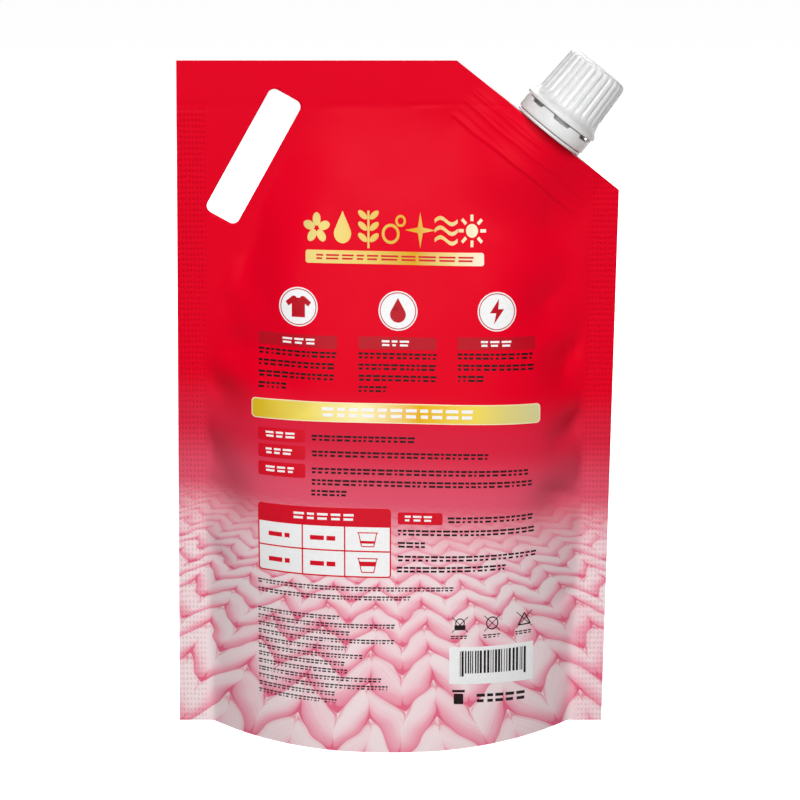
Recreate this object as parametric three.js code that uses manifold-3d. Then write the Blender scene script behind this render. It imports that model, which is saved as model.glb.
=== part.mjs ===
// Laundry liquid refill pouch with a screw-capped corner spout, standing on its opened gusset.
// Millimetres, +Z up, printed panel towards -Y. The origin lies on the floor under the middle of the part.

import * as THREE from "three";
import { mergeVertices } from "three/addons/utils/BufferGeometryUtils.js";
import Module from "manifold-3d";

const wasm = await Module();
wasm.setup();

// Film outline
const POUCH_HEIGHT = 270;
const POUCH_WIDTH = 173.5;
const POUCH_LEAN = 3.8; // sideways lean of the filled pouch, measured at its top edge
const SEAL_THICKNESS = 0.9; // both films with their weld
const SIDE_SEAL = 11;
const TOP_SEAL = 17.5;
const SPOUT_SEAL = 18;
const CORNER_CUT_WIDTH = 64.6; // slanted corner, measured along the top edge
const CORNER_CUT_HEIGHT = 50.5; // slanted corner, measured down the side

// Filled body
const BASE_DEPTH = 76; // front to back over the opened gusset
const BASE_TIP = 14; // flat welded tip at each end of the base
const BASE_TIP_FADE = 76; // height over which the tip narrows to the side seal
const FILL_POWER = 1.5; // how far up the body keeps its depth
const SECTION_POWER = 2.2; // fullness of a level section, where 2 is a parabola
const SPOUT_SLOPE = 48; // run over which the body swells behind the spout seal
const HANDLE_SLOPE = 52; // run over which it swells behind the handle
const GUSSET_RISE = 7; // how far the middle of the base stands off the floor
const BASE_RIM = 0.14; // share of the base that is the flat rim it stands on

// Carrying slot
const HANDLE_LENGTH = 55;
const HANDLE_WIDTH = 14;
const HANDLE_RADIUS = 2.8;
const HANDLE_TILT = 60.6; // degrees from level
const HANDLE_FROM_SIDE = 29.5; // from the top corner to the middle of the slot
const HANDLE_FROM_TOP = 37.4;
const HANDLE_MARGIN = 4.5; // flat film kept beside the slot

// Spout
const SPOUT_ALONG = 45.3; // from the upper end of the slanted edge to the spout's axis
const BOAT_LENGTH = 42;
const BOAT_THICKNESS = 13;
const BOAT_HEIGHT = 15;
const BOAT_RIBS = 4;
const BOAT_RIB_HEIGHT = 1.2;
const BOAT_RIB_PROUD = 0.5;
const WELD_CLEARANCE = 0.3;
const WELD_WALL = 0.9; // film and weld round the boat
const BOAT_BORE = 10;
const FLANGE_DIAMETER = 30;
const FLANGE_RISE = 0.5; // underside of the flange above the film's edge
const FLANGE_THICKNESS = 1.2;
const NECK_DIAMETER = 21.2;
const NECK_BORE = 17;
const NECK_HEIGHT = 28.5;
const LIP_CHAMFER = 0.6;
const SNAP_BEAD_DIAMETER = 26.6;
const SNAP_BEAD_LOW = 5.1;
const SNAP_BEAD_HEIGHT = 1.6;

// Thread, on the neck and in the cap
const THREAD_PITCH = 4;
const THREAD_TURNS = 1.75;
const THREAD_DEPTH = 1;
const THREAD_ROOT_WIDTH = 1.6;
const THREAD_CREST_WIDTH = 0.9;
const THREAD_START = 16.5; // middle of the neck thread's lower end, above the film's edge
const THREAD_CLEARANCE = 0.45; // thread crest to the wall that it faces
const THREAD_FADE = 0.12; // share of its length over which a thread runs out
const THREAD_END = 0.05; // share of its size that is left at the very end
const THREAD_SUNK = 0.3; // depth to which its root lies in the wall that carries it

// Tamper ring
const RING_DIAMETER = 30.8;
const RING_WALL = 1.3;
const RING_HEIGHT = 5.9;
const RING_WINDOWS = 7;
const WINDOW_DEPTH = 0.8;
const WINDOW_ANGLE = 27; // degrees
const RING_LIP_HEIGHT = 1.1;
const RING_EDGE = 0.4;
const SEAT_GAP = 0.3; // between pieces that rest on each other

// Cap
const SKIRT_DIAMETER = 32.2;
const SKIRT_BAND = 1;
const SKIRT_HEIGHT = 5.2;
const GRIP_DIAMETER = 27.4;
const GRIP_TOP_DIAMETER = 25.8;
const CAP_RIBS = 26;
const RIB_DEPTH = 0.55;
const RIB_SHOULDER = 1.6; // height over which a rib rises at either end
const CAP_EDGE = 1.8;
const CAP_TOP_WALL = 1.8;
const SKIRT_WALL = 1.5;
const LINER_THICKNESS = 1.4;
const LINER_DIAMETER = 22.8;
const LINER_DISH = 0.4;

// Fineness of the surfaces
const COLUMNS = 28;
const ROWS = 42;
const BASE_RINGS = 5;
const ROUND = 40;
const THREAD_STEPS = 16; // per turn
const SIDES_PER_RIB = 4;

// Derived sizes that several pieces share
const slantAngle = Math.atan2(
  CORNER_CUT_HEIGHT,
  CORNER_CUT_WIDTH - (POUCH_LEAN * CORNER_CUT_HEIGHT) / POUCH_HEIGHT,
);
const slantTop = new THREE.Vector2(POUCH_WIDTH / 2 - CORNER_CUT_WIDTH + POUCH_LEAN, POUCH_HEIGHT);
const slantAlong = new THREE.Vector2(Math.cos(slantAngle), -Math.sin(slantAngle));
const slantOut = new THREE.Vector2(Math.sin(slantAngle), Math.cos(slantAngle));
const spoutFoot = slantTop.clone().addScaledVector(slantAlong, SPOUT_ALONG);
const handleAlong = new THREE.Vector2(1, 0).rotateAround(
  new THREE.Vector2(),
  THREE.MathUtils.degToRad(HANDLE_TILT),
);
const handleOut = new THREE.Vector2(handleAlong.y, -handleAlong.x);
const handleMiddle = new THREE.Vector2(
  POUCH_LEAN - POUCH_WIDTH / 2 + HANDLE_FROM_SIDE,
  POUCH_HEIGHT - HANDLE_FROM_TOP,
);
const boatHalf = BOAT_THICKNESS / 2;
const boatReach = BOAT_LENGTH / 2;
const boatRadius = (boatReach ** 2 + boatHalf ** 2) / (2 * boatHalf);
const boatDrop = boatRadius - boatHalf;
const pocketMargin = BOAT_RIB_PROUD + WELD_CLEARANCE;
const flangeTop = FLANGE_RISE + FLANGE_THICKNESS;
const neckRadius = NECK_DIAMETER / 2;
const ringLow = flangeTop + SEAT_GAP;
const ringHigh = ringLow + RING_HEIGHT;
const skirtLow = ringHigh + SEAT_GAP;
const gripLow = skirtLow + SKIRT_HEIGHT;
const threadCrest = neckRadius + THREAD_DEPTH;
const capBore = threadCrest + THREAD_CLEARANCE;
const skirtBore = SKIRT_DIAMETER / 2 - SKIRT_WALL;
const linerLow = NECK_HEIGHT + SEAT_GAP;
const capCeiling = linerLow + LINER_THICKNESS + SEAT_GAP;
const capTop = capCeiling + CAP_TOP_WALL;

// Solids from three.js geometry, and back
function solid(geometry) {
  const bare = geometry.clone();
  bare.deleteAttribute("normal");
  bare.deleteAttribute("uv");
  const merged = mergeVertices(bare, 1e-4);
  const triVerts = [];
  for (let i = 0; i < merged.index.count; i += 3) {
    const [a, b, c] = [0, 1, 2].map((k) => merged.index.getX(i + k));
    if (a !== b && b !== c && c !== a) triVerts.push(a, b, c);
  }
  return new wasm.Manifold(
    new wasm.Mesh({
      numProp: 3,
      vertProperties: merged.attributes.position.array,
      triVerts: new Uint32Array(triVerts),
    }),
  );
}

function geometryOf(manifold) {
  const made = manifold.getMesh();
  const geometry = new THREE.BufferGeometry();
  geometry.setAttribute("position", new THREE.BufferAttribute(made.vertProperties, 3));
  geometry.setIndex(new THREE.BufferAttribute(made.triVerts, 1));
  geometry.computeVertexNormals();
  return geometry;
}

// A solid turned about Z from [radius, height] corners that go up the outside
function turned(corners, sides = ROUND) {
  const points = corners.map(([radius, height]) => new THREE.Vector2(radius, height));
  const geometry = new THREE.LatheGeometry(points, sides);
  return geometry.rotateX(Math.PI / 2);
}

// An outline in the XZ plane, given a thickness along Y with its middle at y = 0
function plate(shape, thickness) {
  const geometry = new THREE.ExtrudeGeometry(shape, {
    depth: thickness,
    bevelEnabled: false,
    curveSegments: 6,
  });
  return geometry.rotateX(Math.PI / 2).translate(0, thickness / 2, 0);
}

// Film surface
function swell(distance, run) {
  const share = THREE.MathUtils.clamp(distance / run, 0, 1);
  return 1 - (1 - share) ** 2;
}

// Small dents where the film has buckled: along the panel, up it, radius and depth
const DENTS = [
  [-70, 168, 16, 2.2],
  [-70, 136, 15, 2],
  [-69, 104, 16, 2.2],
  [-73, 70, 14, 1.8],
  [-75, 32, 13, 1.6],
  [67, 200, 17, 1.6],
  [72, 172, 14, 1.8],
  [70, 140, 16, 2.2],
  [68, 104, 14, 2.2],
  [73, 62, 15, 2],
  [77, 30, 12, 1.4],
];

function dentAt(across, z) {
  return DENTS.reduce((sum, [x, up, radius, depth]) => {
    const share = ((across - x) ** 2 + (z - up) ** 2) / radius ** 2;
    return sum + depth * Math.exp(-2 * share);
  }, 0);
}

// Film that wraps the boat, drawn in again as the body swells behind the seal
function wrapAt(x, z) {
  const from = new THREE.Vector2(x, z).sub(spoutFoot);
  const along = Math.min(Math.abs(from.dot(slantAlong)), boatRadius);
  const inside = -from.dot(slantOut);
  const reach = Math.sqrt((boatRadius + pocketMargin + WELD_WALL) ** 2 - along ** 2) - boatDrop;
  const fall = 1 - THREE.MathUtils.smoothstep(inside, BOAT_HEIGHT, BOAT_HEIGHT + SPOUT_SLOPE);
  return Math.max(0, reach) * fall;
}

// Half the depth of the filled body at a point of the panel
function halfDepth(x, z) {
  const across = x - (POUCH_LEAN * z) / POUCH_HEIGHT;
  const sealTop = POUCH_HEIGHT - TOP_SEAL;
  const tip = THREE.MathUtils.lerp(BASE_TIP, SIDE_SEAL, Math.min(1, z / BASE_TIP_FADE));
  const share = Math.min(1, Math.abs(across) / (POUCH_WIDTH / 2 - tip));
  const fill = Math.max(0, 1 - Math.max(0, z / sealTop) ** FILL_POWER);
  const point = new THREE.Vector2(x, z);
  const behindSpout = -point.clone().sub(spoutFoot).dot(slantOut) - SPOUT_SEAL;
  const behindHandle =
    point.clone().sub(handleMiddle).dot(handleOut) - HANDLE_WIDTH / 2 - HANDLE_MARGIN;
  const body =
    (BASE_DEPTH / 2 - SEAL_THICKNESS / 2) *
    fill *
    (1 - share ** SECTION_POWER) *
    swell(behindSpout, SPOUT_SLOPE) *
    swell(behindHandle, HANDLE_SLOPE);
  const dented = body - Math.min(body / 2, dentAt(across, z));
  return SEAL_THICKNESS / 2 + dented + wrapAt(x, z);
}

// Places across the panel: two in each side seal and the rest evenly between the seals
function columns() {
  const half = POUCH_WIDTH / 2;
  const inner = half - SIDE_SEAL;
  const places = [-half, -half + SIDE_SEAL / 2];
  for (let i = 0; i <= COLUMNS; i++) places.push(-inner + (2 * inner * i) / COLUMNS);
  places.push(half - SIDE_SEAL / 2, half);
  return places;
}

// Heights of the level rings: evenly up to the top seal, then two in the seal
function levels() {
  const sealTop = POUCH_HEIGHT - TOP_SEAL;
  const heights = [];
  for (let i = 0; i <= ROWS; i++) heights.push((sealTop * i) / ROWS);
  return [...heights, POUCH_HEIGHT - TOP_SEAL / 2, POUCH_HEIGHT];
}

function ringAt(z) {
  const lean = (POUCH_LEAN * z) / POUCH_HEIGHT;
  const front = columns().map((across) => {
    const x = across + lean;
    return new THREE.Vector3(x, -halfDepth(x, z), z);
  });
  const back = front.map((point) => new THREE.Vector3(point.x, -point.y, z)).reverse();
  return [...front, ...back];
}

// The base film: a flat rim to stand on, arched up inside it and creased along its fold
function baseRing(share) {
  const inside = 1 - THREE.MathUtils.clamp(share / (1 - BASE_RIM), 0, 1);
  return ringAt(0).map((point) => {
    const toTip = (point.x * share) / (POUCH_WIDTH / 2);
    const rise = GUSSET_RISE * (1 - (1 - inside) ** 2) * (1 - toTip ** 2);
    return new THREE.Vector3(point.x * share, point.y * share, rise);
  });
}

// A closed skin over rings of equal count, from the middle of the base to the middle of the top edge
function skin(rings) {
  const count = rings[0].length;
  const stations = rings.map((_, row) => new THREE.Vector2(1, row));
  const geometry = new THREE.LatheGeometry(stations, count);
  const position = geometry.attributes.position;
  for (let side = 0; side <= count; side++) {
    rings.forEach((ring, row) => {
      const point = ring[side % count];
      position.setXYZ(side * rings.length + row, point.x, point.y, point.z);
    });
  }
  return geometry;
}

function pouchBlank() {
  const rings = [];
  for (let i = 0; i < BASE_RINGS; i++) rings.push(baseRing((i / BASE_RINGS) * (1 - BASE_RIM)));
  rings.push(baseRing(1 - BASE_RIM));
  levels().forEach((z) => rings.push(ringAt(z)));
  const top = rings[rings.length - 1];
  rings.push(top.map(() => new THREE.Vector3(POUCH_LEAN, 0, POUCH_HEIGHT)));
  return solid(skin(rings));
}

// Everything beyond the slanted edge
function cornerCut() {
  const low = slantTop.clone().addScaledVector(slantAlong, CORNER_CUT_WIDTH + CORNER_CUT_HEIGHT);
  const high = slantTop.clone().addScaledVector(slantAlong, -CORNER_CUT_WIDTH);
  const shape = new THREE.Shape([
    high,
    low,
    low.clone().addScaledVector(slantOut, CORNER_CUT_WIDTH),
    high.clone().addScaledVector(slantOut, CORNER_CUT_WIDTH),
  ]);
  return solid(plate(shape, BASE_DEPTH));
}

function handleSlot() {
  const x = HANDLE_LENGTH / 2;
  const y = HANDLE_WIDTH / 2;
  const r = HANDLE_RADIUS;
  const shape = new THREE.Shape();
  shape.moveTo(-x + r, -y);
  shape.absarc(x - r, -y + r, r, -Math.PI / 2, 0);
  shape.absarc(x - r, y - r, r, 0, Math.PI / 2);
  shape.absarc(-x + r, y - r, r, Math.PI / 2, Math.PI);
  shape.absarc(-x + r, -y + r, r, Math.PI, 1.5 * Math.PI);
  const cutter = plate(shape, BASE_DEPTH);
  cutter.rotateY(-THREE.MathUtils.degToRad(HANDLE_TILT));
  cutter.translate(handleMiddle.x, 0, handleMiddle.y);
  return solid(cutter);
}

// The boat's outline seen along the spout's axis: two arcs that meet in points, with a margin round them
function boatOutline(margin) {
  const radius = boatRadius + margin;
  const half = Math.acos(boatDrop / radius);
  const shape = new THREE.Shape();
  shape.absarc(0, -boatDrop, radius, Math.PI / 2 - half, Math.PI / 2 + half);
  shape.absarc(0, boatDrop, radius, 1.5 * Math.PI - half, 1.5 * Math.PI + half);
  return shape;
}

// A prism of that outline between two heights on the spout's axis
function boatPrism(margin, low, high) {
  const geometry = new THREE.ExtrudeGeometry(boatOutline(margin), {
    depth: high - low,
    bevelEnabled: false,
    curveSegments: 12,
  });
  return geometry.translate(0, 0, low);
}

// From the spout's own frame, axis along Z and foot at the film's edge, to the pouch's
function onSlant(geometry) {
  return geometry.rotateY(slantAngle).translate(spoutFoot.x, 0, spoutFoot.y);
}

function pouch() {
  const sleeve = boatPrism(pocketMargin + WELD_WALL, -BOAT_HEIGHT - WELD_CLEARANCE - WELD_WALL, 1);
  const pocket = boatPrism(pocketMargin, -BOAT_HEIGHT - WELD_CLEARANCE, 2);
  return pouchBlank()
    .add(solid(onSlant(sleeve)))
    .subtract(cornerCut())
    .subtract(solid(onSlant(pocket)))
    .subtract(handleSlot());
}

// A screw thread: a long box bent into a helix. root and crest are radii, and both ends run out to nothing
function thread(root, crest, lowest) {
  const steps = Math.round(THREAD_STEPS * THREAD_TURNS);
  const box = new THREE.BoxGeometry(1, 1, 1, 1, steps, 1);
  const position = box.attributes.position;
  const sunk = root + Math.sign(root - crest) * THREAD_SUNK;
  for (let i = 0; i < position.count; i++) {
    const length = position.getY(i) + 0.5;
    const isCrest = position.getX(i) > 0;
    const fade = THREE.MathUtils.clamp(Math.min(length, 1 - length) / THREAD_FADE, THREAD_END, 1);
    const width = (isCrest ? THREAD_CREST_WIDTH : THREAD_ROOT_WIDTH) * fade;
    const radius = isCrest ? root + (crest - root) * fade : sunk;
    const turn = 2 * Math.PI * THREAD_TURNS * length;
    const height = lowest + THREAD_PITCH * THREAD_TURNS * length + position.getZ(i) * width;
    position.setXYZ(i, radius * Math.cos(turn), radius * Math.sin(turn), height);
  }
  if (crest < root) box.index.array.reverse();
  return solid(box);
}

function spout() {
  const bead = SNAP_BEAD_DIAMETER / 2;
  const beadHigh = SNAP_BEAD_LOW + SNAP_BEAD_HEIGHT;
  const body = turned([
    [0, -BOAT_RIB_HEIGHT],
    [BOAT_BORE / 2 + 1, -BOAT_RIB_HEIGHT],
    [BOAT_BORE / 2 + 1, FLANGE_RISE],
    [FLANGE_DIAMETER / 2, FLANGE_RISE],
    [FLANGE_DIAMETER / 2, flangeTop],
    [neckRadius, flangeTop],
    [neckRadius, SNAP_BEAD_LOW],
    [bead, SNAP_BEAD_LOW],
    [bead, SNAP_BEAD_LOW + SNAP_BEAD_HEIGHT / 3],
    [neckRadius, beadHigh],
    [neckRadius, NECK_HEIGHT - LIP_CHAMFER],
    [neckRadius - LIP_CHAMFER, NECK_HEIGHT],
    [0, NECK_HEIGHT],
  ]);
  const bore = turned([
    [0, -BOAT_HEIGHT - 1],
    [BOAT_BORE / 2, -BOAT_HEIGHT - 1],
    [BOAT_BORE / 2, 0],
    [NECK_BORE / 2, BOAT_BORE / 2],
    [NECK_BORE / 2, NECK_HEIGHT + 1],
    [0, NECK_HEIGHT + 1],
  ]);
  let made = solid(body).add(solid(boatPrism(0, -BOAT_HEIGHT, FLANGE_RISE)));
  const step = (BOAT_HEIGHT - BOAT_RIB_HEIGHT) / (BOAT_RIBS - 1);
  for (let i = 0; i < BOAT_RIBS; i++) {
    const low = -BOAT_HEIGHT + i * step;
    made = made.add(solid(boatPrism(BOAT_RIB_PROUD, low, low + BOAT_RIB_HEIGHT)));
  }
  return made.add(thread(neckRadius, threadCrest, THREAD_START)).subtract(solid(bore));
}

function tamperRing() {
  const outer = RING_DIAMETER / 2;
  const inner = outer - RING_WALL;
  const lip = neckRadius + SEAT_GAP;
  const lipLow = SNAP_BEAD_LOW - SEAT_GAP - RING_LIP_HEIGHT;
  const lipHigh = SNAP_BEAD_LOW - SEAT_GAP;
  const body = turned([
    [inner, ringLow],
    [outer - RING_EDGE, ringLow],
    [outer, ringLow + RING_EDGE],
    [outer, ringHigh],
    [inner, ringHigh],
    [inner, lipHigh],
    [lip + SEAT_GAP, lipHigh],
    [lip, lipLow + RING_LIP_HEIGHT / 2],
    [inner, lipLow],
    [inner, ringLow],
  ]);
  let made = solid(body);
  for (let i = 0; i < RING_WINDOWS; i++) {
    made = made.subtract(ringWindow(-Math.PI / 2 + (2 * Math.PI * i) / RING_WINDOWS));
  }
  return made;
}

// A wedge that lowers the ring's upper edge over one window
function ringWindow(middle) {
  const reach = RING_DIAMETER;
  const half = THREE.MathUtils.degToRad(WINDOW_ANGLE / 2);
  const shape = new THREE.Shape();
  shape.moveTo(0, 0);
  shape.lineTo(reach * Math.cos(middle - half), reach * Math.sin(middle - half));
  shape.lineTo(reach * Math.cos(middle + half), reach * Math.sin(middle + half));
  const wedge = new THREE.ExtrudeGeometry(shape, { depth: RING_HEIGHT, bevelEnabled: false });
  return solid(wedge.translate(0, 0, ringHigh - WINDOW_DEPTH));
}

// The cap's outside: flared skirt, tapered grip and rounded top edge, from [radius, height] corners
function capOutline() {
  const skirt = SKIRT_DIAMETER / 2;
  const grip = GRIP_DIAMETER / 2;
  const gripTop = GRIP_TOP_DIAMETER / 2;
  const edgeLow = capTop - CAP_EDGE;
  const corners = [
    [0, skirtLow],
    [skirt - 0.3, skirtLow],
    [skirt, skirtLow + 0.3],
    [skirt, skirtLow + SKIRT_BAND],
    [grip + 0.4, gripLow],
    [grip, gripLow + RIB_SHOULDER],
    [gripTop + (grip - gripTop) / 2, (gripLow + edgeLow) / 2],
    [gripTop, edgeLow - 0.2],
  ];
  for (const degrees of [30, 60, 90]) {
    const turn = THREE.MathUtils.degToRad(degrees);
    corners.push([gripTop - CAP_EDGE * (1 - Math.cos(turn)), edgeLow + CAP_EDGE * Math.sin(turn)]);
  }
  return [...corners, [0, capTop]];
}

// Ribs: every fourth corner of the grip is drawn in to a groove, which fades at the skirt and the top edge
function ribbed(geometry) {
  const position = geometry.attributes.position;
  for (let i = 0; i < position.count; i++) {
    const x = position.getX(i);
    const y = position.getY(i);
    const z = position.getZ(i);
    const radius = Math.hypot(x, y);
    const side = Math.round((Math.atan2(y, x) / (2 * Math.PI)) * CAP_RIBS * SIDES_PER_RIB);
    if (radius < 1 || (side + CAP_RIBS * SIDES_PER_RIB) % SIDES_PER_RIB) continue;
    const rise = THREE.MathUtils.smoothstep(z, gripLow, gripLow + RIB_SHOULDER);
    const fall = 1 - THREE.MathUtils.smoothstep(z, capTop - CAP_EDGE, capTop - 0.1);
    const scale = (radius - RIB_DEPTH * rise * fall) / radius;
    position.setXY(i, x * scale, y * scale);
  }
  return geometry;
}

function cap() {
  const outside = ribbed(turned(capOutline(), CAP_RIBS * SIDES_PER_RIB));
  const hollow = turned([
    [0, skirtLow - 1],
    [skirtBore, skirtLow - 1],
    [skirtBore, skirtLow + SKIRT_BAND],
    [capBore, gripLow - 0.6],
    [capBore, capCeiling],
    [0, capCeiling],
  ]);
  const innerThread = thread(capBore, neckRadius + THREAD_CLEARANCE, THREAD_START - THREAD_PITCH / 2);
  return solid(outside).subtract(solid(hollow)).add(innerThread);
}

function capLiner() {
  const radius = LINER_DIAMETER / 2;
  const high = linerLow + LINER_THICKNESS;
  return solid(
    turned([
      [0, linerLow],
      [radius - 0.3, linerLow],
      [radius, linerLow + 0.3],
      [radius, high],
      [neckRadius - 2, high],
      [neckRadius - 2.5, high - LINER_DISH],
      [0, high - LINER_DISH],
    ]),
  );
}

function piece(name, manifold, colour, roughness) {
  const material = new THREE.MeshStandardMaterial({ color: colour, roughness, metalness: 0 });
  const mesh = new THREE.Mesh(geometryOf(manifold), material);
  mesh.name = name;
  return mesh;
}

const spoutGroup = new THREE.Group();
spoutGroup.rotation.y = slantAngle;
spoutGroup.position.set(spoutFoot.x, 0, spoutFoot.y);
spoutGroup.add(
  piece("spout", spout(), 0xf2f4f2, 0.35),
  piece("tamper_ring", tamperRing(), 0xe6e8e6, 0.35),
  piece("cap", cap(), 0xeef0ef, 0.35),
  piece("cap_liner", capLiner(), 0xf8f8f4, 0.6),
);

// The origin goes under the middle of the whole part
const assembly = new THREE.Group();
assembly.add(piece("pouch", pouch(), 0xe01030, 0.4), spoutGroup);
assembly.updateMatrixWorld(true);
const middle = new THREE.Box3().setFromObject(assembly, true).getCenter(new THREE.Vector3());
assembly.position.x = -middle.x;

const refillPouch = new THREE.Group();
refillPouch.add(assembly);

export default refillPouch;
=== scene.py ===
"""Laundry liquid refill pouch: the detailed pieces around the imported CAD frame.

Laid out as a Blender add-on and run as a script. Metres, +Z up, printed panel towards -Y.
A place on the panel is given in millimetres: across, from the middle of the base, and up.
"""

import math
from functools import partial

import bmesh
import bpy
import numpy as np
from bpy.props import FloatProperty, FloatVectorProperty, IntProperty, PointerProperty
from mathutils import Matrix, Vector


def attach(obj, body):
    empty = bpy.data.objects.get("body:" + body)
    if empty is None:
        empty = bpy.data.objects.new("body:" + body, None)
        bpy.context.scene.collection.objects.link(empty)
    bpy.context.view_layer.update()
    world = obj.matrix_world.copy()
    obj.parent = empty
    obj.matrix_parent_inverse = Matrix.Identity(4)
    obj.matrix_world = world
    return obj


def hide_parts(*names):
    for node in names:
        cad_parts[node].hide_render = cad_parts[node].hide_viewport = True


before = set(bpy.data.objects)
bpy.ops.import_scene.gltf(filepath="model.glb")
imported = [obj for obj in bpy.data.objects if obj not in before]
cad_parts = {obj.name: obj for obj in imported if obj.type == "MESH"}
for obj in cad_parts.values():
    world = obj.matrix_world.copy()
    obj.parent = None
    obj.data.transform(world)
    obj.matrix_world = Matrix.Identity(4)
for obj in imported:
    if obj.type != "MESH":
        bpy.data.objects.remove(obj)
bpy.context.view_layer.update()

bl_info = {
    "name": "Refill pouch",
    "version": (1, 0, 0),
    "blender": (4, 5, 0),
    "location": "View3D > Sidebar > Refill pouch",
    "description": "Film pouch with printed panel, corner spout, tamper ring and screw cap",
    "category": "Object",
}

MM = 0.001
BOX_SHIFT = -2.0615  # mm from the middle of the base to the middle of the part's box


def linear(code):
    """Turns an sRGB hex colour into linear RGBA."""
    parts = [int(code[i : i + 2], 16) / 255 for i in (0, 2, 4)]
    return tuple(c / 12.92 if c <= 0.04045 else ((c + 0.055) / 1.055) ** 2.4 for c in parts) + (1.0,)


def length(name, description, default):
    """A length, given here in millimetres and shown in the scene's unit."""
    return FloatProperty(
        name=name, description=description, default=default * MM, unit="LENGTH", subtype="DISTANCE"
    )


def colour(name, description, code):
    """A colour, given here as sRGB hex."""
    return FloatVectorProperty(
        name=name, description=description, default=linear(code), size=4, subtype="COLOR", min=0, max=1
    )


class FilmSettings(bpy.types.PropertyGroup):
    height: length("Height", "Height of the film from the floor", 270)
    width: length("Width", "Width of the flat panel", 173.5)
    lean: length("Lean", "Sideways lean at the top edge", 3.8)
    seal: length("Seal thickness", "Both films with their weld", 0.9)
    side_seal: length("Side seal", "Width of each side seal", 11)
    top_seal: length("Top seal", "Height of the top seal", 17.5)
    spout_seal: length("Spout seal", "Depth of the seal along the slanted edge", 18)
    corner_width: length("Corner width", "Slanted corner, measured along the top edge", 64.6)
    corner_height: length("Corner height", "Slanted corner, measured down the side", 50.5)
    base_depth: length("Base depth", "Front to back over the opened gusset", 76)
    gusset_rise: length("Gusset rise", "Height of the middle of the base above the floor", 7)
    slot_length: length("Slot length", "Length of the carrying slot", 55)
    slot_width: length("Slot width", "Width of the carrying slot", 14)
    cell: length("Mesh cell", "Spacing of the film's mesh", 1.5)
    red: colour("Film red", "Ground colour of the upper film", "ec0024")
    rose: colour("Film rose", "Upper part of the fade", "e02642")
    pink: colour("Film pink", "Lower part of the fade", "e6566f")
    haze: colour("Film haze", "Colour at the far edge of the knit", "f8bbc6")
    knit_light: colour("Knit light", "Crest of a printed strand", "ffecee")
    knit_mid: colour("Knit mid", "Flank of a printed strand", "fdbac9")
    knit_dark: colour("Knit dark", "Gap between printed strands", "f0708f")
    ink: colour("Black ink", "Small print", "1c0f12")
    white_ink: colour("White ink", "Discs, table cells and the code's field", "ffffff")
    label: colour("Label red", "Bars under the discs", "c20a20")
    pill: colour("Pill red", "Small headings and the table's head", "dc0a26")


class ClosureSettings(bpy.types.PropertyGroup):
    along: length("Spout place", "From the upper end of the slanted edge to the spout's axis", 45.3)
    skirt: length("Skirt diameter", "Outside of the cap's skirt", 32.2)
    grip: length("Grip diameter", "Outside of the grip at the skirt", 27.4)
    grip_top: length("Grip top diameter", "Outside of the grip under its top edge", 25.8)
    ribs: IntProperty(name="Ribs", description="Grip ribs round the cap", default=26, min=8, max=60)
    rib_depth: length("Rib depth", "Depth of the groove between two ribs", 0.7)
    ring: length("Ring diameter", "Outside of the tamper ring", 30.8)
    windows: IntProperty(
        name="Windows", description="Windows under the cap's skirt", default=7, min=3, max=16
    )
    plastic: colour("Cap plastic", "Milky polypropylene", "f1f2f1")
    foam: colour("Liner foam", "Pressed foam of the liner", "fbfbf6")


class StageSettings(bpy.types.PropertyGroup):
    elevation: FloatProperty(
        name="Elevation", description="Camera angle above level", default=math.radians(12.7), subtype="ANGLE"
    )
    distance: length("Distance", "Camera to the middle of the pouch", 1000)
    lens: FloatProperty(name="Lens", description="Focal length on a 36 mm sensor", default=112.5)
    floor: colour("Floor", "Plain pale floor", "fafafa")


def settings(group):
    """Gives a function that reads a property group's lengths in millimetres."""
    return lambda name: getattr(getattr(bpy.context.scene, group), name) / MM


def swell(distance, run):
    """Rises from 0 to 1 over a run, steeply at first."""
    return 1 - (1 - np.clip(distance / run, 0, 1)) ** 2


def smoothstep(value, low, high):
    """Rises from 0 to 1 between two values, level at both."""
    t = np.clip((value - low) / (high - low), 0, 1)
    return t * t * (3 - 2 * t)


# Form of the film, in millimetres

BASE_TIP = 14  # width that stays flat beside the gusset at the floor
BASE_TIP_FADE = 76  # height at which it has come to the side seal's width
BASE_RIM = 0.14  # share of the base that is the flat rim
FILL_POWER = 1.5  # how late the body closes towards the top seal
SECTION_LOW = 2.3  # roundness of the level section at the base
SECTION_HIGH = 4.2  # and where the film leaves the side seals steeply
SECTION_CHANGE = (40, 120)  # heights between which it changes
SPOUT_SLOPE = 48  # run over which the body swells behind the spout seal
HANDLE_SLOPE = 27  # and behind the sealed corner with the slot
FINE_BAND = 24  # depth of the finer mesh along the slanted edge
FINE_CUTS = 3
GUSSET_CUTS = 21  # cuts from front to back across the base
SLOT_TILT = math.radians(60.6)
SLOT_FROM_SIDE = 29.5
SLOT_FROM_TOP = 37.4
SLOT_MARGIN = 4.5  # sealed film between the slot and the body
SLOT_CORNER = 2.8
BOAT_HALF = 6.5  # half the boat's thickness
BOAT_REACH = 21  # half its length
BOAT_HEIGHT = 15
BOAT_BORE = 5  # radius of the channel through it
BOAT_RIBS = 4
BOAT_RIB_HIGH = 1.2
BOAT_RIB_PROUD = 0.5
BOAT_WRAP = 7.2  # how far the film stands off over the middle of the boat
WRAP_REACH = 33  # how far along the seal it does
WRAP_RUN = 30  # and how far below the boat
KNIT_FAR = 150  # height of the knit's far edge, out of sight in the fade
KNIT_WIDTH = 31  # a column of the knit at the foot of the panel
KNIT_HEIGHT = 21  # a row of it there
KNIT_LEAST = 12  # distance to the far edge at which the knit stops shrinking
KNIT_PLACE = 0.31  # columns by which the knit is moved across
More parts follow.
